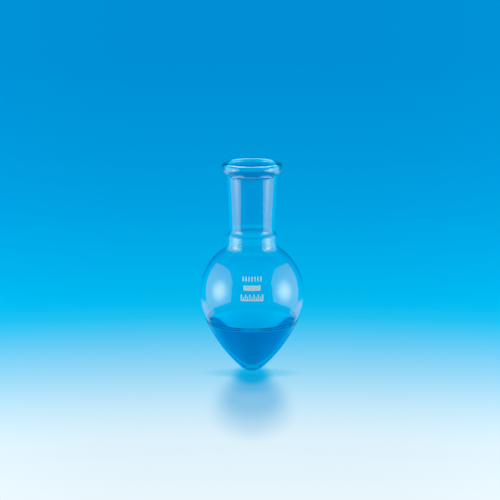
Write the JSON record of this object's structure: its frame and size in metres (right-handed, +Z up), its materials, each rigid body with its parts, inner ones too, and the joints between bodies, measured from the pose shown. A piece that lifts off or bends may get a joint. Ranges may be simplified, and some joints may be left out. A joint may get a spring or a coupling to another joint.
{
  "type": "pear-shaped flask",
  "caption": "Clear glass pear-shaped flask with a standard ground socket joint, a rolled rim and a pointed bulb, part filled with blue liquid.",
  "frame": {"origin": "centre of the mouth of the ground socket, level with the crest of its lip", "axes": "+Z up the flask's axis and out of the mouth; X and Y are equal, because the flask is turned about Z"},
  "size_m": [0.0668, 0.0668, 0.1353],
  "materials": {
    "clear_glass": "gloss",
    "blue_liquid": "gloss"
  },
  "bodies": {
    "root": {"glass_flask": "clear_glass", "blue_liquid": "blue_liquid"}
  },
  "joints": []
}
